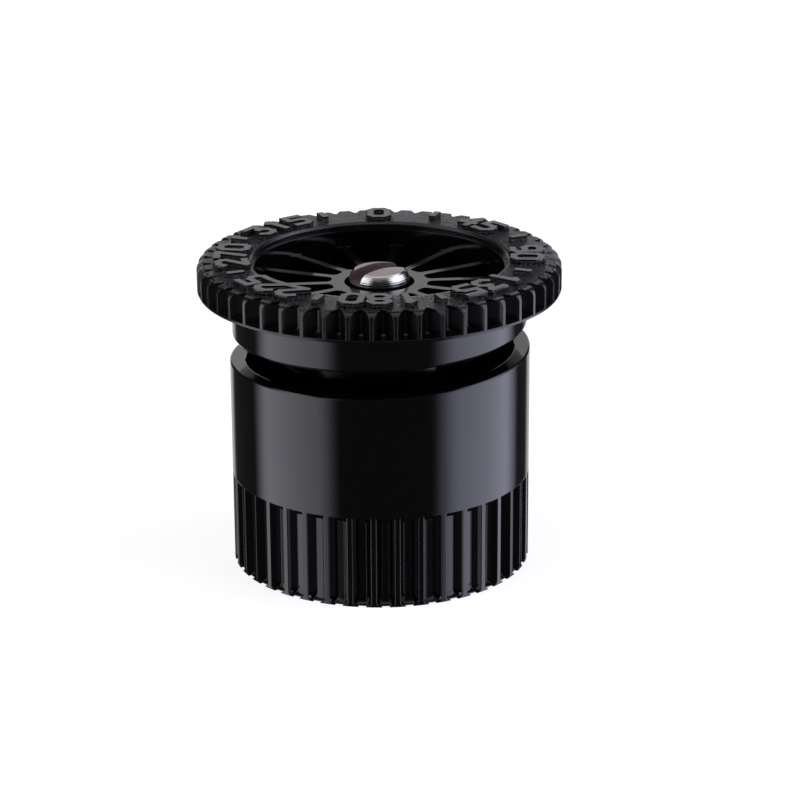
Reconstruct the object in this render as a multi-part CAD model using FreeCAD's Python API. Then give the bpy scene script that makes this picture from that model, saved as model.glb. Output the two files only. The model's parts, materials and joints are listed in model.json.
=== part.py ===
"""Adjustable-arc spray nozzle for a pop-up sprinkler riser.

Millimetres. The origin is at the centre of the skirt's bottom rim and +Z points up.
The front is -Y. The arc valve closes on a step that stands at the rear, on +Y.
"""
import FreeCAD, Part
import math
import os

V = FreeCAD.Vector
UP = V(0, 0, 1)
ORIGIN = V(0, 0, 0)

# Skirt
SKIRT_R = 11.20
CUP_R = 10.00
RIM_Z = 16.18
RIM_CHAMFER = 0.12
GROOVE_COUNT = 40
GROOVE_TOP_Z = 6.90
GROOVE_DEPTH = 0.70
GROOVE_WIDTH = 1.40
GROOVE_FLOOR_WIDTH = 0.55
GROOVE_CORNER_R = 0.42
GROOVE_END_R = 0.72
NOTCH_DEPTH = 0.25
NOTCH_RISE = 0.60
RIB_AZ = -2.9

# Riser thread, 27 threads to the inch
THREAD_PITCH = 25.4 / 27
THREAD_MINOR_R = 8.22
THREAD_MAJOR_R = 8.75
THREAD_START_Z = 0.90
THREAD_END_Z = 7.60
THREAD_START_DEG = 22.5
LEAD_IN_R = 9.10
RELIEF_R = 8.90

# Deck, drum and valve seat inside the skirt
DECK_Z = 8.60
DECK_TOP_Z = 9.80
DRUM_R = 7.00
DRUM_EDGE_Z = 12.00
DRUM_TOP_Z = 13.20
INSERT_R = 5.90
LEDGE_Z = 12.30
SEAT_BORE_R = 4.40
SEAT_R = 5.40

# Helical arc valve: everything that slopes climbs LEAD in one turn
LEAD = 1.94
SPRAY_GAP = 1.94
LIP_Z = 14.95
VALVE_CLEARANCE = 0.06
STEP_CLEARANCE_DEG = 1.2

# Post and its spider
SPIDER_Z = 11.30
SPIDER_BOSS_R = 2.90
SPIDER_WEB_COUNT = 4
SPIDER_WEB = 0.90
POST_R = 2.20
POST_TOP_Z = 19.20
POST_THREAD_R = 2.60
POST_THREAD_TOP_Z = 14.90
POST_THREAD_ROOT = 0.90
POST_THREAD_CREST = 0.45
RUNNING = 0.05

# Deflector head
NECK_R = 10.97
NECK_Z = RIM_Z + SPRAY_GAP
BRIM_Z = 21.04
BRIM_TOP_Z = 21.20
BRIM_R = 13.44
BOWL_R = 9.30
BOWL_WALL_R = 10.60
BOWL_EDGE_Z = 22.70
SPOKE_COUNT = 14
SPOKE_TOP_Z = 21.45
SPOKE_WIDTH = 0.60
SPOKE_AZ = 94.5
HUB_R = 3.60
HUB_BORE_R = 2.60
SHOULDER_Z = 16.60
SLEEVE_R = 3.20
SLEEVE_Z = 12.50
LAND_R = 5.60
SHELL = 1.00

# Grip ring
TEETH = 50
TOOTH_AZ = -2.4
RING_R = 13.51
TOOTH_DEPTH = 1.15
TOOTH_TIP = 0.28
TOOTH_FOOT = 0.42
FOOT_THICK = 0.06
RING_TOP_Z = 23.22
RING_EDGE_R = 0.62
LIP_R = 9.44
LIP_EDGE = 0.14
MARK_HEIGHT = 0.38
MARK_STROKE = 0.50
MARK_INNER_R = 9.97
MARK_TALL = 2.00
MARK_WIDE = 1.30
MARK_PITCH_DEG = 10.2
TICK_LONG = 1.30

# Radius screw, throttle and small parts
SCREW_PITCH = 0.60
SCREW_MAJOR_R = 1.45
SCREW_MINOR_R = 1.12
SCREW_HEAD_R = 2.26
SCREW_HEAD_EDGE_R = 1.84
SCREW_HEAD_BULGE = 0.09
SCREW_HEAD_Z = 21.20
SCREW_HEAD_WIDE_Z = 21.60
SCREW_HEAD_EDGE_Z = 22.40
SCREW_TOP_Z = 22.68
SCREW_SHANK_R = 1.55
SCREW_SHANK_Z = 16.50
SCREW_THREAD_Z = 12.40
SCREW_TIP_R = 1.05
SCREW_TIP_Z = 10.00
SLOT_WIDTH = 1.40
SLOT_FLOOR_Z = 21.62
SLOT_ANGLE = 32.0
GLAND_R = 1.60
GLAND_Z = 15.00
THREAD_SPACE = 0.05
SCREW_RING_Z = 18.20
SCREW_RING_WIRE_R = 0.225
ARC_RING_Z = 15.70
ARC_RING_WIRE_R = 0.30
CLIP_GROOVE_R = 1.92
CLIP_R = 2.50
CLIP_Z = 18.60
CLIP_THICK = 0.40
ORIFICE_R = 2.20
ORIFICE_Z = 9.00
ORIFICE_SLOPE = 0.85
INLET_PLATE_TOP_Z = 9.50
INLET_WALL = 0.90
SCREW_TRAVEL = 1.20
SEAT_GAP = 0.05
PLUG_Z = 9.70
PLUG_TOP_Z = 11.18
GASKET_INNER_R = 7.05
GASKET_OUTER_R = 8.75
GASKET_THICK = 0.80


def turned(shape, degrees):
    return shape.rotated(ORIGIN, UP, degrees)


def lifted(shape, z):
    return shape.translated(V(0, 0, z))


def outline(points):
    """Closed wire in the radius-height half plane."""
    corners = [V(r, 0, z) for r, z in points]
    return Part.makePolygon(corners + corners[:1])


def revolved(points):
    return Part.Face(outline(points)).revolve(ORIGIN, UP, 360)


def revolved_with_arcs(points, middles):
    """Revolved outline; middles gives an arc's middle point by the number of its start."""
    corners = [V(r, 0, z) for r, z in points]
    edges = []
    for k, (start, end) in enumerate(zip(corners, corners[1:] + corners[:1])):
        if k in middles:
            r, z = middles[k]
            edges.append(Part.Arc(start, V(r, 0, z), end).toShape())
        else:
            edges.append(Part.makeLine(start, end))
    return Part.Face(Part.Wire(edges)).revolve(ORIGIN, UP, 360)


def tube(inner, outer, z0, z1):
    return revolved([(inner, z0), (outer, z0), (outer, z1), (inner, z1)])


def disc(radius, z0, z1):
    return Part.makeCylinder(radius, z1 - z0, V(0, 0, z0))


def ring_torus(inner, wire_r, z):
    return Part.makeTorus(inner + wire_r, wire_r, V(0, 0, z))


def coil_sweep(points, pitch, turns):
    """Solid that an outline sweeps as it screws right-handed up and round from +X."""
    radius = max(r for r, z in points)
    path = Part.makeHelix(pitch, pitch * turns, radius)
    coil = path.makePipeShell([outline(points)], True, True)
    if coil.Volume < 0:
        coil.reverse()
    return coil


def half_turns(points, pitch, count):
    """A sweep as separate half turns, because one long sweep does not cut cleanly."""
    half = coil_sweep(points, pitch, 0.5)
    return [lifted(turned(half, 180 * k), pitch * k / 2) for k in range(count)]


def ramp(points, clearance_deg=0.0):
    """One full turn of helical ramp, as two half turns; heights hold at the front."""
    halves = half_turns(points, LEAD, 2)
    return [lifted(turned(half, 90 + clearance_deg), -LEAD / 2) for half in halves]


def cut_all(shape, tools):
    for tool in tools:
        shape = shape.cut(tool)
    return shape


def around(shape, count, start=0.0):
    copies = [turned(shape, start + 360 * k / count) for k in range(count)]
    return Part.makeCompound(copies)


def single(shape):
    """The one solid that a boolean left in its compound."""
    if len(shape.Solids) != 1:
        raise ValueError(f"expected one solid, found {len(shape.Solids)}")
    return shape.Solids[0]


def groove_reach():
    """How deep a rib groove goes at each height: a round run-out on top, shallower below."""
    far = SKIRT_R + 1.0
    deep = SKIRT_R - GROOVE_END_R
    low = SKIRT_R - NOTCH_DEPTH
    start = GROOVE_TOP_Z - GROOVE_END_R
    bend = GROOVE_END_R * math.sqrt(0.5)
    points = [(SKIRT_R, GROOVE_TOP_Z), (far, GROOVE_TOP_Z), (far, -1), (low, -1), (low, 0),
              (deep, NOTCH_RISE), (deep, start)]
    step = low - deep
    radius = (step ** 2 + NOTCH_RISE ** 2) / (2 * step)
    half = math.atan2(NOTCH_RISE, radius - step) / 2
    foot = (deep + radius * (1 - math.cos(half)), NOTCH_RISE - radius * math.sin(half))
    return revolved_with_arcs(points, {4: foot, 6: (SKIRT_R - bend, start + bend)})


def groove_cutter():
    """One rib groove at the front: tapered flanks, and bottom corners rounded to a notch."""
    far = SKIRT_R + 1.0
    floor_y = -(SKIRT_R - GROOVE_DEPTH)
    flare = (GROOVE_WIDTH - GROOVE_FLOOR_WIDTH) / 2 / GROOVE_DEPTH
    wide = GROOVE_FLOOR_WIDTH / 2 + flare * (far + floor_y)
    floor = GROOVE_FLOOR_WIDTH / 2
    plan = [V(-floor, floor_y, -1), V(floor, floor_y, -1), V(wide, -far, -1), V(-wide, -far, -1)]
    prism = Part.Face(Part.makePolygon(plan + plan[:1])).extrude(V(0, 0, GROOVE_TOP_Z + 1))
    half = GROOVE_WIDTH / 2
    notch = half - GROOVE_CORNER_R
    bend = GROOVE_CORNER_R * (1 - math.sqrt(0.5))
    sides = []
    for s in (1, -1):
        low = V(s * notch, 0, -1)
        start = V(s * notch, 0, 0)
        middle = V(s * (half - bend), 0, bend)
        end = V(s * half, 0, GROOVE_CORNER_R)
        top = V(s * (half + 1.0), 0, GROOVE_TOP_Z)
        corner = V(s * (half + 1.0), 0, GROOVE_CORNER_R)
        sides.append([Part.makeLine(low, start), Part.Arc(start, middle, end).toShape(),
                      Part.makeLine(end, corner), Part.makeLine(corner, top)])
    closing = [Part.makeLine(V(-half - 1.0, 0, GROOVE_TOP_Z), V(half + 1.0, 0, GROOVE_TOP_Z)),
               Part.makeLine(V(-notch, 0, -1), V(notch, 0, -1))]
    edges = Part.sortEdges(sides[0] + sides[1] + closing)[0]
    window = Part.Face(Part.Wire(edges)).extrude(V(0, -2 * SKIRT_R, 0))
    return prism.common(window).common(groove_reach())


def skirt_base():
    """Ribbed skirt with the riser thread, the deck, the drum and the helical valve seat."""
    body = revolved([
        (LEAD_IN_R, 0), (SKIRT_R, 0), (SKIRT_R, RIM_Z + LEAD), (CUP_R, RIM_Z + LEAD),
        (CUP_R, DECK_TOP_Z), (DRUM_R, DECK_TOP_Z), (DRUM_R, DRUM_EDGE_Z), (SEAT_R, DRUM_TOP_Z),
        (SEAT_R, LIP_Z + LEAD), (SEAT_BORE_R, LIP_Z + LEAD), (SEAT_BORE_R, LEDGE_Z),
        (INSERT_R, LEDGE_Z), (INSERT_R, DECK_Z), (RELIEF_R, DECK_Z), (RELIEF_R, THREAD_END_Z),
        (THREAD_MINOR_R, THREAD_END_Z), (THREAD_MINOR_R, THREAD_START_Z)])
    body = body.cut(around(groove_cutter(), GROOVE_COUNT, RIB_AZ + 180 / GROOVE_COUNT))
    c = RIM_CHAMFER
    rim = [(CUP_R - 0.4, -c), (CUP_R, -c), (CUP_R + c, 0), (SKIRT_R - c, 0), (SKIRT_R, -c),
           (SKIRT_R + 0.4, -c), (SKIRT_R + 0.4, 4), (CUP_R - 0.4, 4)]
    body = cut_all(body, ramp([(r, z + RIM_Z) for r, z in rim]))
    seat_z = LIP_Z - VALVE_CLEARANCE
    seat = [(SEAT_BORE_R - 0.4, seat_z), (SEAT_R + 0.4, seat_z),
            (SEAT_R + 0.4, seat_z + 4), (SEAT_BORE_R - 0.4, seat_z + 4)]
    body = cut_all(body, ramp(seat))
    slope = math.tan(math.radians(30))
    deep = 0.06
    shallow = deep + (THREAD_MAJOR_R - THREAD_MINOR_R + 0.12) * slope
    inner = THREAD_MINOR_R - 0.12
    groove = [(inner, -shallow), (THREAD_MAJOR_R, -deep), (THREAD_MAJOR_R, deep), (inner, shallow)]
    count = 2 * math.ceil(THREAD_END_Z / THREAD_PITCH + 1.5)
    coils = half_turns(groove, THREAD_PITCH, count)
    thread = [lifted(turned(half, THREAD_START_DEG), -THREAD_PITCH) for half in coils]
    return single(body.cut(thread))


def inlet_seat():
    """Cup in the deck: its floor holds the orifice that the throttle plug closes on."""
    top_r = ORIFICE_R + ORIFICE_SLOPE * (INLET_PLATE_TOP_Z - ORIFICE_Z)
    return revolved([
        (ORIFICE_R, DECK_Z), (INSERT_R, DECK_Z), (INSERT_R, SPIDER_Z),
        (INSERT_R - INLET_WALL, SPIDER_Z), (INSERT_R - INLET_WALL, INLET_PLATE_TOP_Z),
        (top_r, INLET_PLATE_TOP_Z), (ORIFICE_R, ORIFICE_Z)])


def valve_post():
    """Spider and post: the head screws on its coarse outer thread, the screw in its bore."""
    bores = [disc(SCREW_MINOR_R + THREAD_SPACE, SPIDER_Z - 1, POST_TOP_Z + 1),
             screw_helix(SCREW_THREAD_Z - SCREW_PITCH, GLAND_Z + SCREW_PITCH, THREAD_SPACE),
             disc(SCREW_MAJOR_R + THREAD_SPACE, SPIDER_Z - 1, SCREW_THREAD_Z),
             disc(GLAND_R, GLAND_Z, POST_TOP_Z + 1),
             tube(CLIP_GROOVE_R, POST_R + 1, CLIP_Z, CLIP_Z + CLIP_THICK)]
    shaft = cut_all(disc(POST_R, SPIDER_Z, POST_TOP_Z), bores)
    rise = POST_THREAD_TOP_Z - LEDGE_Z - POST_THREAD_ROOT
    ridge = coil_sweep(post_ridge(0.0), LEAD, rise / LEAD)
    shaft = shaft.fuse(lifted(ridge, LEDGE_Z + POST_THREAD_ROOT / 2))
    rim = tube(SEAT_BORE_R, INSERT_R, SPIDER_Z, LEDGE_Z)
    boss = tube(POST_R - 0.2, SPIDER_BOSS_R, SPIDER_Z, LEDGE_Z)
    web = Part.makeBox(SEAT_BORE_R + 0.4 - POST_R, SPIDER_WEB, LEDGE_Z - SPIDER_Z,
                       V(POST_R, -SPIDER_WEB / 2, SPIDER_Z))
    webs = around(web, SPIDER_WEB_COUNT, 45)
    return single(shaft.fuse([rim, boss] + webs.Solids))


def thread_outline(minor, major, root, crest, sunk, space):
    """Trapezoid ridge that starts a little under the shaft's surface."""
    slope = (root - crest) / (major - minor)
    foot = root + space + slope * sunk
    tip = crest + space
    return [(minor - sunk, -foot), (major + space, -tip), (major + space, tip),
            (minor - sunk, foot)]


def post_ridge(space):
    """The post's coarse thread, grown by a running space for the head's groove."""
    return thread_outline(POST_R, POST_THREAD_R, POST_THREAD_ROOT / 2, POST_THREAD_CREST / 2,
                          0.2, space)


def screw_helix(z0, z1, space):
    """Thread ridge of the radius screw between two heights, always in the same phase."""
    points = thread_outline(SCREW_MINOR_R, SCREW_MAJOR_R, SCREW_PITCH * 0.38, SCREW_PITCH * 0.10,
                            0.06, space * 0.6)
    coil = coil_sweep(points, SCREW_PITCH, (z1 - z0) / SCREW_PITCH)
    return lifted(turned(coil, 360 * z0 / SCREW_PITCH), z0)


def radius_screw():
    """Stainless screw: crowned slotted head, smooth shank with a seal groove, thread, tip."""
    ring_r = SCREW_RING_WIRE_R
    points = [
        (0, SCREW_TOP_Z), (0, SCREW_TIP_Z), (SCREW_TIP_R, SCREW_TIP_Z),
        (SCREW_TIP_R, SCREW_THREAD_Z), (SCREW_MINOR_R, SCREW_THREAD_Z),
        (SCREW_MINOR_R, SCREW_SHANK_Z), (SCREW_SHANK_R, SCREW_SHANK_Z),
        (SCREW_SHANK_R, SCREW_RING_Z - ring_r - 0.04),
        (GLAND_R - 2 * ring_r - 0.05, SCREW_RING_Z - ring_r - 0.04),
        (GLAND_R - 2 * ring_r - 0.05, SCREW_RING_Z + ring_r + 0.04),
        (SCREW_SHANK_R, SCREW_RING_Z + ring_r + 0.04),
        (SCREW_SHANK_R, SCREW_HEAD_Z), (SCREW_HEAD_R - 0.15, SCREW_HEAD_Z),
        (SCREW_HEAD_R, SCREW_HEAD_Z + 0.15), (SCREW_HEAD_R, SCREW_HEAD_WIDE_Z),
        (SCREW_HEAD_EDGE_R, SCREW_HEAD_EDGE_Z)]
    flank = ((SCREW_HEAD_R + SCREW_HEAD_EDGE_R) / 2 + SCREW_HEAD_BULGE,
             (SCREW_HEAD_WIDE_Z + SCREW_HEAD_EDGE_Z) / 2 + SCREW_HEAD_BULGE / 2)
    crown = (SCREW_HEAD_EDGE_R / 2, SCREW_TOP_Z - 0.07)
    last = len(points) - 1
    body = revolved_with_arcs(points, {last - 1: flank, last: crown})
    body = body.fuse(screw_helix(SCREW_THREAD_Z, SCREW_SHANK_Z - SCREW_PITCH / 2, 0.0))
    slot = Part.makeBox(3 * SCREW_HEAD_R, SLOT_WIDTH, 2,
                        V(-1.5 * SCREW_HEAD_R, -SLOT_WIDTH / 2, SLOT_FLOOR_Z))
    return single(body.cut(turned(slot, SLOT_ANGLE)))


def throttle_plug():
    """Cone pressed on the screw's tip; it meets the orifice when the screw is right down."""
    def cone_r(z):
        return ORIFICE_R - SEAT_GAP + ORIFICE_SLOPE * (z - SCREW_TRAVEL - ORIFICE_Z)

    full_r = 2.60
    full_z = ORIFICE_Z + SCREW_TRAVEL + (full_r - ORIFICE_R + SEAT_GAP) / ORIFICE_SLOPE
    return revolved([
        (0, PLUG_Z), (cone_r(PLUG_Z), PLUG_Z), (full_r, full_z), (full_r, full_z + 0.25),
        (SCREW_TIP_R + 0.45, PLUG_TOP_Z), (SCREW_TIP_R, PLUG_TOP_Z), (SCREW_TIP_R, SCREW_TIP_Z),
        (0, SCREW_TIP_Z)])


def pocket_plan():
    """One cored pocket between two spokes, as a tall prism with rounded corners."""
    spread = 360 / SPOKE_COUNT
    sector = Part.Face(outline([(HUB_R, 10), (BOWL_R, 10), (BOWL_R, 24), (HUB_R, 24)]))
    sector = sector.revolve(ORIGIN, UP, spread)
    spoke = Part.makeBox(BOWL_R + 1, SPOKE_WIDTH, 16, V(0, -SPOKE_WIDTH / 2, 9))
    prism = sector.cut(spoke).cut(turned(spoke, spread))
    uprights = [e for e in prism.Edges if abs(e.tangentAt(e.FirstParameter).z) > 0.99]
    inner = [e for e in uprights if math.hypot(e.CenterOfMass.x, e.CenterOfMass.y) < 5]
    outer = [e for e in uprights if math.hypot(e.CenterOfMass.x, e.CenterOfMass.y) > 8]
    prism = prism.makeFillet(0.42, inner)
    count = len(outer)
    outer = [e for e in prism.Edges if abs(e.tangentAt(e.FirstParameter).z) > 0.99
             and math.hypot(e.CenterOfMass.x, e.CenterOfMass.y) > 8.5]
    return prism.makeFillet(0.30, outer[:count])


def deflector_slope(r, space=0.0):
    """Height at the front of the deflector's underside at radius r."""
    rise = (NECK_Z - LIP_Z) / (NECK_R - LAND_R)
    return LIP_Z + space + rise * max(0.0, r - LAND_R)


def pockets():
    """The cored pockets of the bowl; their floors follow the deflector's underside."""
    reach = BOWL_R + 0.5
    floor = [(HUB_R - 0.5, LIP_Z + SHELL), (LAND_R, LIP_Z + SHELL),
             (reach, deflector_slope(reach, SHELL)), (reach, 24.5), (HUB_R - 0.5, 24.5)]
    halves = ramp(floor, STEP_CLEARANCE_DEG)
    plan = pocket_plan()
    solids = []
    for k in range(SPOKE_COUNT):
        prism = turned(plan, SPOKE_AZ - 90 + 360 * k / SPOKE_COUNT)
        for half in halves:
            solids += [s for s in prism.common(half).Solids if s.Volume > 0.01]
    return solids


def deflector_head():
    """Rigid head: neck, helical deflector underside, cored bowl with spokes, hub and brim."""
    low = LIP_Z - LEAD / 2 - 0.5
    bore = POST_R + RUNNING
    body = revolved([
        (bore, low), (NECK_R, low), (NECK_R, BRIM_Z), (BRIM_R, BRIM_Z), (BRIM_R, BRIM_TOP_Z),
        (BOWL_WALL_R, BRIM_TOP_Z), (BOWL_WALL_R, BOWL_EDGE_Z), (BOWL_R, BOWL_EDGE_Z),
        (BOWL_R, SPOKE_TOP_Z), (HUB_BORE_R, SPOKE_TOP_Z), (HUB_BORE_R, SHOULDER_Z),
        (bore, SHOULDER_Z)])
    edge = NECK_R - RIM_CHAMFER
    under = [(bore - 1, low - 2), (bore - 1, LIP_Z), (LAND_R, LIP_Z),
             (edge, deflector_slope(edge)), (NECK_R, deflector_slope(NECK_R) + RIM_CHAMFER),
             (NECK_R + 1, deflector_slope(NECK_R) + RIM_CHAMFER), (NECK_R + 1, low - 2)]
    body = cut_all(body, ramp(under, STEP_CLEARANCE_DEG))
    body = body.cut(pockets())
    body = body.fuse(tube(bore, SLEEVE_R, SLEEVE_Z, SHOULDER_Z - 0.2))
    run = POST_THREAD_TOP_Z - LEDGE_Z - POST_THREAD_ROOT + 2 * LEAD
    helix = coil_sweep(post_ridge(RUNNING), LEAD, run / LEAD)
    helix = lifted(helix, LEDGE_Z + POST_THREAD_ROOT / 2 - LEAD)
    helix = helix.common(disc(POST_THREAD_R + 1, SLEEVE_Z - 3, POST_THREAD_TOP_Z + 0.15))
    gland = tube(POST_R, POST_R + 2 * ARC_RING_WIRE_R + 0.05,
                 ARC_RING_Z - ARC_RING_WIRE_R - 0.05, ARC_RING_Z + ARC_RING_WIRE_R + 0.05)
    return single(cut_all(body, [helix, gland]))


def gap_reach():
    """How deep the grip ring's V grooves go: their feet curve out over the brim."""
    far = RING_R + 1.0
    deep = RING_R - TOOTH_DEPTH - 0.02
    low = BRIM_TOP_Z + FOOT_THICK
    bend = TOOTH_FOOT * (1 - math.sqrt(0.5))
    points = [(deep, RING_TOP_Z + 1), (deep, low + TOOTH_FOOT), (deep + TOOTH_FOOT, low),
              (far, low), (far, RING_TOP_Z + 1)]
    return revolved_with_arcs(points, {1: (deep + bend, low + bend)})


def tooth_gap():
    """One V groove of the grip ring, centred at the front."""
    half = (2 * math.pi * RING_R / TEETH - TOOTH_TIP) / 2
    floor_r = RING_R - TOOTH_DEPTH
    far = RING_R + 0.5
    wide = half * (far - floor_r) / TOOTH_DEPTH
    plan = [V(-0.08, -floor_r, BRIM_Z - 1), V(0.08, -floor_r, BRIM_Z - 1),
            V(wide, -far, BRIM_Z - 1), V(-wide, -far, BRIM_Z - 1)]
    prism = Part.Face(Part.makePolygon(plan + plan[:1])).extrude(V(0, 0, 4))
    return prism.common(gap_reach())


# Moulded numerals as pen strokes on a grid 4 wide and 6 tall
NUMERALS = {
    "0": [[(0, 1), (0, 5), (1, 6), (3, 6), (4, 5), (4, 1), (3, 0), (1, 0), (0, 1)]],
    "1": [[(1, 5), (2, 6), (2, 0)]],
    "2": [[(0, 5), (1, 6), (3, 6), (4, 5), (4, 4), (0, 0), (4, 0)]],
    "3": [[(0, 6), (4, 6), (2, 3.6), (3, 3.6), (4, 2.6), (4, 1), (3, 0), (1, 0), (0, 1)]],
    "4": [[(3, 0), (3, 6), (0, 2), (4, 2)]],
    "5": [[(4, 6), (0, 6), (0, 3.4), (3, 3.4), (4, 2.4), (4, 1), (3, 0), (0, 0)]],
    "6": [[(3, 6), (1, 6), (0, 5), (0, 1), (1, 0), (3, 0), (4, 1), (4, 2.4), (3, 3.4), (0, 3.4)]],
    "7": [[(0, 6), (4, 6), (1.4, 0)]],
    "8": [[(1, 3.2), (0, 4.2), (0, 5), (1, 6), (3, 6), (4, 5), (4, 4.2), (3, 3.2), (1, 3.2),
           (0, 2.2), (0, 1), (1, 0), (3, 0), (4, 1), (4, 2.2), (3, 3.2)]],
    "9": [[(4, 2.6), (1, 2.6), (0, 3.6), (0, 5), (1, 6), (3, 6), (4, 5), (4, 1), (3, 0), (1, 0)]],
}
DIAL_VALUES = (0, 45, 90, 135, 180, 225, 270, 315)
DIAL_START_AZ = 180.0


def stroke_bar(a, b):
    """Raised bar between two points of the front-facing lettering plane."""
    run = b.sub(a)
    length = run.Length + MARK_STROKE * 0.8
    bar = Part.makeBox(length, MARK_STROKE, MARK_HEIGHT + 0.1,
                       V(-MARK_STROKE * 0.4, -MARK_STROKE / 2, 0))
    bar = bar.rotated(ORIGIN, UP, math.degrees(math.atan2(run.y, run.x)))
    return bar.translated(V(a.x, a.y, RING_TOP_Z - 0.1))


def numeral(character, az):
    """One raised numeral, its top towards the ring's outer edge."""
    bars = []
    for stroke in NUMERALS[character]:
        spots = [V((0.5 - x / 4) * MARK_WIDE, -MARK_INNER_R - y / 6 * MARK_TALL, 0)
                 for x, y in stroke]
        bars += [stroke_bar(a, b) for a, b in zip(spots, spots[1:])]
    return turned(bars[0].multiFuse(bars[1:]) if len(bars) > 1 else bars[0], az)


def dial_marks():
    """Numerals each 45 degrees, clockwise from the arc valve's step, and ticks between them."""
    marks = []
    for value in DIAL_VALUES:
        text = str(value)
        middle = DIAL_START_AZ - value
        for k, character in enumerate(text):
            place = (len(text) - 1) / 2 - k
            marks.append(numeral(character, middle + place * MARK_PITCH_DEG))
        tick = Part.makeBox(MARK_STROKE, TICK_LONG, MARK_HEIGHT + 0.1,
                            V(-MARK_STROKE / 2, -MARK_INNER_R - MARK_TALL, RING_TOP_Z - 0.1))
        marks.append(turned(tick, middle + 22.5))
    return marks


def grip_ring():
    """Soft toothed collar moulded over the head's brim and bowl wall, with a raised dial."""
    bend = RING_EDGE_R * (1 - math.sqrt(0.5))
    points = [
        (RING_R - RING_EDGE_R, RING_TOP_Z), (LIP_R + LIP_EDGE, RING_TOP_Z),
        (LIP_R, RING_TOP_Z - LIP_EDGE), (LIP_R, BOWL_EDGE_Z), (BOWL_WALL_R, BOWL_EDGE_Z),
        (BOWL_WALL_R, BRIM_TOP_Z), (RING_R, BRIM_TOP_Z), (RING_R, RING_TOP_Z - RING_EDGE_R)]
    edge = (RING_R - bend, RING_TOP_Z - bend)
    body = revolved_with_arcs(points, {len(points) - 1: edge})
    body = body.cut(around(tooth_gap(), TEETH, TOOTH_AZ + 180 / TEETH))
    return single(body.fuse(dial_marks()).removeSplitter())


def retaining_clip():
    """Open ring snapped in the post's groove; the head's shoulder stops under it."""
    ring = tube(CLIP_GROOVE_R, CLIP_R, CLIP_Z, CLIP_Z + CLIP_THICK)
    mouth = Part.makeBox(2.2, 2 * CLIP_R, 2, V(-1.1, 0, CLIP_Z - 0.5))
    return single(ring.cut(mouth))


def arc_o_ring():
    return ring_torus(POST_R + 0.02, ARC_RING_WIRE_R, ARC_RING_Z)


def screw_o_ring():
    return ring_torus(GLAND_R - 2 * SCREW_RING_WIRE_R - 0.02, SCREW_RING_WIRE_R, SCREW_RING_Z)


def riser_gasket():
    """Flat rubber ring that the riser's end squeezes against the deck."""
    return tube(GASKET_INNER_R, GASKET_OUTER_R, DECK_Z - GASKET_THICK, DECK_Z)


NODES = {
    "skirt_base": skirt_base,
    "inlet_seat": inlet_seat,
    "valve_post": valve_post,
    "retaining_clip": retaining_clip,
    "riser_gasket": riser_gasket,
    "arc_o_ring": arc_o_ring,
    "deflector_head": deflector_head,
    "grip_ring": grip_ring,
    "screw_o_ring": screw_o_ring,
    "radius_screw": radius_screw,
    "throttle_plug": throttle_plug,
}


def main():
    os.makedirs("parts", exist_ok=True)
    for name, make in NODES.items():
        shape = make()
        shape.exportStep(f"parts/{name}.step")
        print(name, "solids", len(shape.Solids), "valid", shape.isValid(),
              "volume", round(shape.Volume, 2))


main()
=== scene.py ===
"""Looks of the adjustable-arc spray nozzle: materials, studio light and camera."""
import json
import math

import bpy
from mathutils import Matrix, Vector

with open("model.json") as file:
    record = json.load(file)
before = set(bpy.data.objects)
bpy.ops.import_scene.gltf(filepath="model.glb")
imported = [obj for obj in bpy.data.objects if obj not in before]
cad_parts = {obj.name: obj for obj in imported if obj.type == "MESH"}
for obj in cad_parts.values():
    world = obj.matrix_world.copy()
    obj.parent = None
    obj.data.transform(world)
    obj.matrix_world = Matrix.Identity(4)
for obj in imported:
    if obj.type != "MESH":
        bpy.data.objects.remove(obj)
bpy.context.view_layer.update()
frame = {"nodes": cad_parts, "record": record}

MM = 0.001
NODES = frame["nodes"]

# Camera of the main view
AIM = Vector((0.0, 0.0, 0.0120))
DISTANCE = 0.2208
ELEVATION = 19.71
ROLL = 0.45
LENS = 132.1
SHIFT = (0.0247, 0.0014)

# Light panels: start, end and blur of each in degrees, and its fading from side to side.
# Azimuth 0 is the camera's side and -90 is its left. The back panel counts from behind
PANEL_HEIGHT = (-45.0, 55.0, 11.0)
LEFT_PANEL = (-104.5, -40.5, 10.5)
LEFT_FADING = (-85.0, -45.0, 1.0, 0.74)
RIGHT_PANEL = (51.5, 120.0, 13.0)
RIGHT_FADING = (55.0, 90.0, 0.86, 1.0)
BACK_PANEL = (-90.0, 25.0, 6.0)
TOP_PANEL = (62.0, 120.0, 8.0)
AMBIENT = (0.045, 0.044, 0.044)
LEFT_LIGHT = (2.02, 2.05, 2.28)
RIGHT_LIGHT = (2.30, 2.36, 2.98)
BACK_LIGHT = (0.66, 0.66, 0.68)
TOP_LIGHT = (0.80, 0.80, 0.82)

# Plain floor
FLOOR_SIZE = 8.0
FLOOR_DROP = 0.00002
FLOOR_GREY = 0.38
FLOOR_GLOW = 0.80

# Ring's spark-eroded annulus in millimetres: where its edges fade in and out
GRAIN_HEIGHT_START = (22.98, 23.14)
GRAIN_HEIGHT_END = (23.36, 23.46)
GRAIN_RADIUS_START = (9.60, 9.75)
GRAIN_RADIUS_END = (12.75, 13.10)
GRAIN_RELIEF = 0.62
CRUMB_SCALE = 6200.0
PIT_SCALE = 1500.0
PIT_SHARE = 0.8
PLAIN_SPECULAR = 0.5
# Specular level range over the grain: its low end is painted shade in the pits, its high end lets
# the crumbs shine
PIT_SHADE_RANGE = (0.40, 0.60, -0.42, 0.40)

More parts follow.
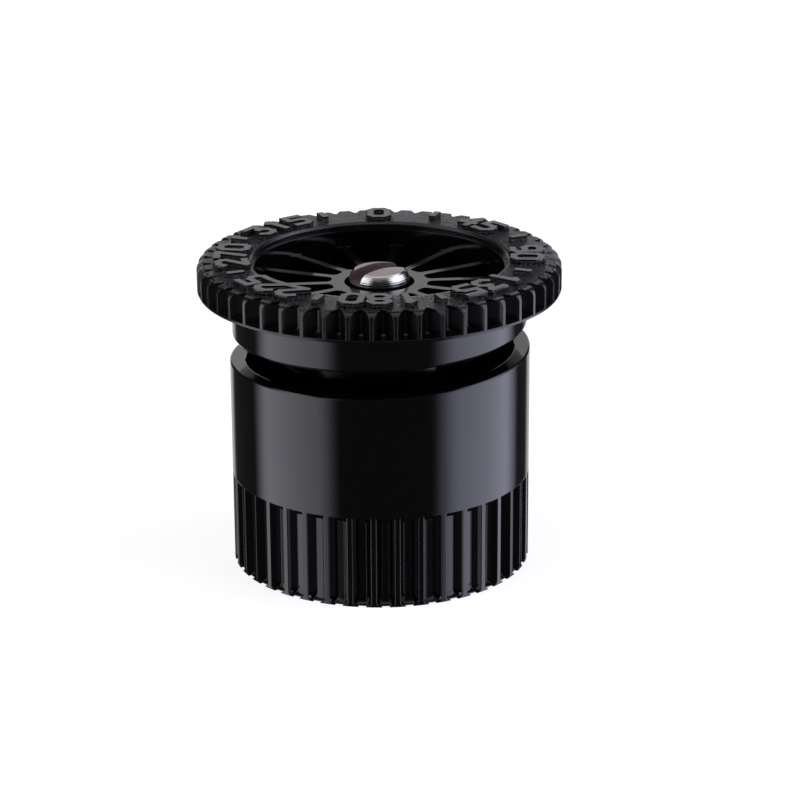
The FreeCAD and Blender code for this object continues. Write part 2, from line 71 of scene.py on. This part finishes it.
# Screw's head in millimetres and degrees
SLOT_ANGLE = 32.0
SLOT_EDGE = (0.705, 0.73)
SLOT_FLOOR = (21.55, 21.615)
CROWN_HEIGHT = (22.34, 22.40)
CROWN_RADIUS = (1.79, 1.85)
STEEL = (0.50, 0.485, 0.46)
CROWN_STEEL = (0.44, 0.385, 0.36)
# Painted shade: the steel inside the slot is given this darker colour
SLOT_PAINTED_SHADE = (0.20, 0.150, 0.130)
CROWN_ROUGHNESS = 0.38
SLOT_ROUGHNESS = 0.5
TURNING_SCALE = 9.0
TURNING_RELIEF = 0.035


class Shader:
    """Small helper that adds and links nodes of one tree."""

    def __init__(self, tree):
        self.tree = tree

    def node(self, kind, **settings):
        n = self.tree.nodes.new(kind)
        for key, value in settings.items():
            setattr(n, key, value)
        return n

    def link(self, source, target):
        self.tree.links.new(source, target)

    def feed(self, socket, value):
        if isinstance(value, bpy.types.NodeSocket):
            self.link(value, socket)
        else:
            socket.default_value = value

    def math(self, operation, *values):
        n = self.node("ShaderNodeMath", operation=operation)
        for socket, value in zip(n.inputs, values):
            self.feed(socket, value)
        return n.outputs[0]

    def times(self, a, b):
        return self.math("MULTIPLY", a, b)

    def smooth(self, value, low, high, start=0.0, end=1.0):
        n = self.node("ShaderNodeMapRange", interpolation_type="SMOOTHSTEP")
        self.feed(n.inputs["Value"], value)
        n.inputs["From Min"].default_value = low
        n.inputs["From Max"].default_value = high
        n.inputs["To Min"].default_value = start
        n.inputs["To Max"].default_value = end
        return n.outputs["Result"]

    def fade(self, value, low, high):
        return self.smooth(value, low, high, 1.0, 0.0)

    def span(self, value, low, high, edge):
        """1 between two limits of a value and 0 outside, with soft edges."""
        rise = self.smooth(value, low - edge, low + edge)
        return self.times(rise, self.fade(value, high - edge, high + edge))

    def noise(self, vector, scale, detail=3.0, rough=0.5):
        n = self.node("ShaderNodeTexNoise")
        self.link(vector, n.inputs["Vector"])
        n.inputs["Scale"].default_value = scale
        n.inputs["Detail"].default_value = detail
        n.inputs["Roughness"].default_value = rough
        return n.outputs["Fac"]

    def blend(self, factor, a, b):
        """Color a where the factor is 0 and color b where it is 1."""
        n = self.node("ShaderNodeMix", data_type="RGBA")
        self.link(factor, n.inputs["Factor"])
        self.feed(n.inputs[6], a)
        self.feed(n.inputs[7], b)
        return n.outputs[2]

    def bump(self, height, distance, bsdf):
        """One more layer of relief, in millimetres, on a shader's normal."""
        n = self.node("ShaderNodeBump")
        n.inputs["Distance"].default_value = distance * MM
        self.link(height, n.inputs["Height"])
        self.link(bsdf.inputs["Normal"].links[0].from_socket, n.inputs["Normal"])
        self.link(n.outputs["Normal"], bsdf.inputs["Normal"])


def material(name, color, roughness, metallic=0.0, rough_spread=0.0, grain=0.0,
             grain_scale=4000.0, specular=0.5, edge=0.0):
    """Principled surface with a little procedural variation of roughness and relief."""
    mat = bpy.data.materials.new(name)
    mat.use_nodes = True
    sh = Shader(mat.node_tree)
    bsdf = mat.node_tree.nodes["Principled BSDF"]
    bsdf.inputs["Base Color"].default_value = (*color, 1.0)
    bsdf.inputs["Metallic"].default_value = metallic
    bsdf.inputs["IOR"].default_value = 1.5
    bsdf.inputs["Specular IOR Level"].default_value = specular
    spot = sh.node("ShaderNodeTexCoord").outputs["Object"]
    blotch = sh.noise(spot, 260.0)
    rough = sh.smooth(blotch, 0.3, 0.7, roughness - rough_spread, roughness + rough_spread)
    sh.link(rough, bsdf.inputs["Roughness"])
    relief = sh.node("ShaderNodeBump")
    relief.inputs["Strength"].default_value = 1.0
    relief.inputs["Distance"].default_value = grain * MM
    sh.link(sh.noise(spot, grain_scale, 4.0, 0.6), relief.inputs["Height"])
    if edge:
        bevel = sh.node("ShaderNodeBevel", samples=6)
        bevel.inputs["Radius"].default_value = edge * MM
        sh.link(bevel.outputs["Normal"], relief.inputs["Normal"])
    sh.link(relief.outputs["Normal"], bsdf.inputs["Normal"])
    return mat


def build_materials():
    return {
        "black_plastic": material("nozzle black plastic", (0.0018, 0.0016, 0.0018), 0.075,
                                  rough_spread=0.015, grain=0.0003, edge=0.11),
        "head_plastic": material("head black plastic", (0.0022, 0.0020, 0.0021), 0.11,
                                 rough_spread=0.02, grain=0.0004, edge=0.05),
        "insert_plastic": material("insert plastic", (0.020, 0.020, 0.021), 0.38,
                                   rough_spread=0.03, grain=0.001),
        "grip_rubber": grip_material(),
        "seal_rubber": material("seal rubber", (0.012, 0.012, 0.012), 0.45,
                                rough_spread=0.03, grain=0.001),
        "screw_steel": screw_material(),
        "clip_steel": material("spring steel", (0.55, 0.55, 0.55), 0.28, metallic=1.0,
                               rough_spread=0.03, grain=0.001),
    }


def place(sh):
    """Radius and height of the shaded point in millimetres, and its position in metres."""
    spot = sh.node("ShaderNodeTexCoord").outputs["Object"]
    parts = sh.node("ShaderNodeSeparateXYZ")
    sh.link(spot, parts.inputs[0])
    x, y, z = parts.outputs
    radius = sh.math("SQRT", sh.math("ADD", sh.times(x, x), sh.times(y, y)))
    return sh.math("DIVIDE", radius, MM), sh.math("DIVIDE", z, MM), spot, x, y


def grip_material():
    """Soft black plastic: satin teeth and numerals, spark-eroded annulus between them with painted
    shade in its pits.
    """
    mat = material("grip soft plastic", (0.004, 0.0037, 0.0038), 0.21, rough_spread=0.03,
                   grain=0.0012, grain_scale=6000.0, edge=0.06)
    sh = Shader(mat.node_tree)
    bsdf = mat.node_tree.nodes["Principled BSDF"]
    radius, height, spot, _, _ = place(sh)
    level = sh.times(sh.smooth(height, *GRAIN_HEIGHT_START), sh.fade(height, *GRAIN_HEIGHT_END))
    band = sh.times(sh.smooth(radius, *GRAIN_RADIUS_START), sh.fade(radius, *GRAIN_RADIUS_END))
    zone = sh.times(level, band)
    crumbs = sh.noise(spot, CRUMB_SCALE, 2.0, 0.6)
    pits = sh.noise(spot, PIT_SCALE, 2.0, 0.5)
    relief = sh.times(sh.math("ADD", crumbs, sh.times(pits, PIT_SHARE)), zone)
    sh.bump(relief, GRAIN_RELIEF, bsdf)
    # Painted shade: the specular level drops in the pits of the grain so they look like shaded
    # hollows
    painted_pit_shade = sh.smooth(crumbs, *PIT_SHADE_RANGE)
    specular = sh.math("MULTIPLY_ADD", painted_pit_shade, zone, PLAIN_SPECULAR)
    sh.link(specular, bsdf.inputs["Specular IOR Level"])
    return mat


def screw_material():
    """Turned stainless steel: ringed bright flank, dull brownish crown and a slot darkened by
    painted shade.
    """
    mat = material("turned steel", STEEL, 0.13, metallic=1.0, rough_spread=0.02,
                   grain=0.0006, grain_scale=3000.0, edge=0.05)
    sh = Shader(mat.node_tree)
    bsdf = mat.node_tree.nodes["Principled BSDF"]
    radius, height, _, x, y = place(sh)
    turn = math.radians(SLOT_ANGLE)
    across = sh.math("SUBTRACT", sh.times(y, math.cos(turn)), sh.times(x, math.sin(turn)))
    in_slot = sh.fade(sh.math("DIVIDE", sh.math("ABSOLUTE", across), MM), *SLOT_EDGE)
    slot = sh.times(in_slot, sh.smooth(height, *SLOT_FLOOR))
    crown = sh.times(sh.smooth(height, *CROWN_HEIGHT), sh.fade(radius, *CROWN_RADIUS))
    color = sh.blend(crown, (*STEEL, 1.0), (*CROWN_STEEL, 1.0))
    # Painted shade: the slot's walls and floor take a darker steel colour
    sh.link(sh.blend(slot, color, (*SLOT_PAINTED_SHADE, 1.0)), bsdf.inputs["Base Color"])
    worn = sh.math("MAXIMUM", sh.times(crown, CROWN_ROUGHNESS), sh.times(slot, SLOT_ROUGHNESS))
    rough = bsdf.inputs["Roughness"].links[0].from_socket
    sh.link(sh.math("MAXIMUM", rough, worn), bsdf.inputs["Roughness"])
    profile = sh.node("ShaderNodeCombineXYZ")
    sh.link(radius, profile.inputs["X"])
    sh.link(height, profile.inputs["Z"])
    sh.bump(sh.noise(profile.outputs[0], TURNING_SCALE, 3.0), TURNING_RELIEF, bsdf)
    return mat


def dress(materials):
    """Each CAD node takes the material of its slot."""
    for part in frame["record"]["subparts"]:
        obj = NODES[part["node"]]
        obj.data.materials.clear()
        obj.data.materials.append(materials[part["material_slot"]])


def studio_world():
    """Light panels left, right, behind and overhead; the side of the camera stays dark."""
    world = bpy.data.worlds.new("studio")
    bpy.context.scene.world = world
    world.use_nodes = True
    sh = Shader(world.node_tree)
    background = world.node_tree.nodes["Background"]
    direction = sh.node("ShaderNodeTexCoord").outputs["Generated"]
    parts = sh.node("ShaderNodeSeparateXYZ")
    sh.link(direction, parts.inputs[0])
    x, y, z = parts.outputs
    az = sh.math("DEGREES", sh.math("ARCTAN2", x, sh.times(y, -1.0)))
    el = sh.math("DEGREES", sh.math("ARCSINE", z))
    from_back = sh.math("SUBTRACT", 180.0, sh.math("ABSOLUTE", az))
    tall = sh.span(el, *PANEL_HEIGHT)
    left = sh.times(sh.span(az, *LEFT_PANEL), sh.smooth(az, *LEFT_FADING))
    right = sh.times(sh.span(az, *RIGHT_PANEL), sh.smooth(az, *RIGHT_FADING))
    back = sh.span(from_back, *BACK_PANEL)
    panels = [
        (sh.times(left, tall), LEFT_LIGHT),
        (sh.times(right, tall), RIGHT_LIGHT),
        (sh.times(back, tall), BACK_LIGHT),
        (sh.span(el, *TOP_PANEL), TOP_LIGHT),
    ]
    total = AMBIENT
    for mask, color in panels:
        glow = sh.node("ShaderNodeVectorMath", operation="SCALE")
        glow.inputs[0].default_value = color
        sh.link(mask, glow.inputs["Scale"])
        add = sh.node("ShaderNodeVectorMath", operation="ADD")
        sh.feed(add.inputs[0], total)
        sh.link(glow.outputs[0], add.inputs[1])
        total = add.outputs[0]
    sh.link(total, background.inputs["Color"])
    background.inputs["Strength"].default_value = 1.0


def pale_floor():
    """Plain pale floor. It lights the part but stays out of its glossy reflections."""
    bpy.ops.mesh.primitive_plane_add(size=FLOOR_SIZE, location=(0, 0, -FLOOR_DROP))
    floor = bpy.context.object
    floor.name = "studio floor"
    pale = material("pale floor", (FLOOR_GREY, FLOOR_GREY, FLOOR_GREY), 0.9, specular=0.0)
    bsdf = pale.node_tree.nodes["Principled BSDF"]
    bsdf.inputs["Emission Color"].default_value = (1, 1, 1, 1)
    bsdf.inputs["Emission Strength"].default_value = FLOOR_GLOW
    floor.data.materials.append(pale)
    floor.visible_glossy = False


def main_camera():
    tilt = math.radians(ELEVATION)
    camera = bpy.data.objects.new("main camera", bpy.data.cameras.new("main camera"))
    bpy.context.scene.collection.objects.link(camera)
    camera.location = AIM + DISTANCE * Vector((0.0, -math.cos(tilt), math.sin(tilt)))
    lean = Matrix.Rotation(math.pi / 2 - tilt, 3, "X") @ Matrix.Rotation(math.radians(-ROLL), 3, "Z")
    camera.rotation_euler = lean.to_euler()
    camera.data.lens = LENS
    camera.data.sensor_width = 36.0
    camera.data.shift_x, camera.data.shift_y = SHIFT
    camera.data.clip_start = 0.005
    camera.data.clip_end = 50.0
    bpy.context.scene.camera = camera


dress(build_materials())
studio_world()
pale_floor()
main_camera()
bpy.context.scene.view_settings.view_transform = "Standard"
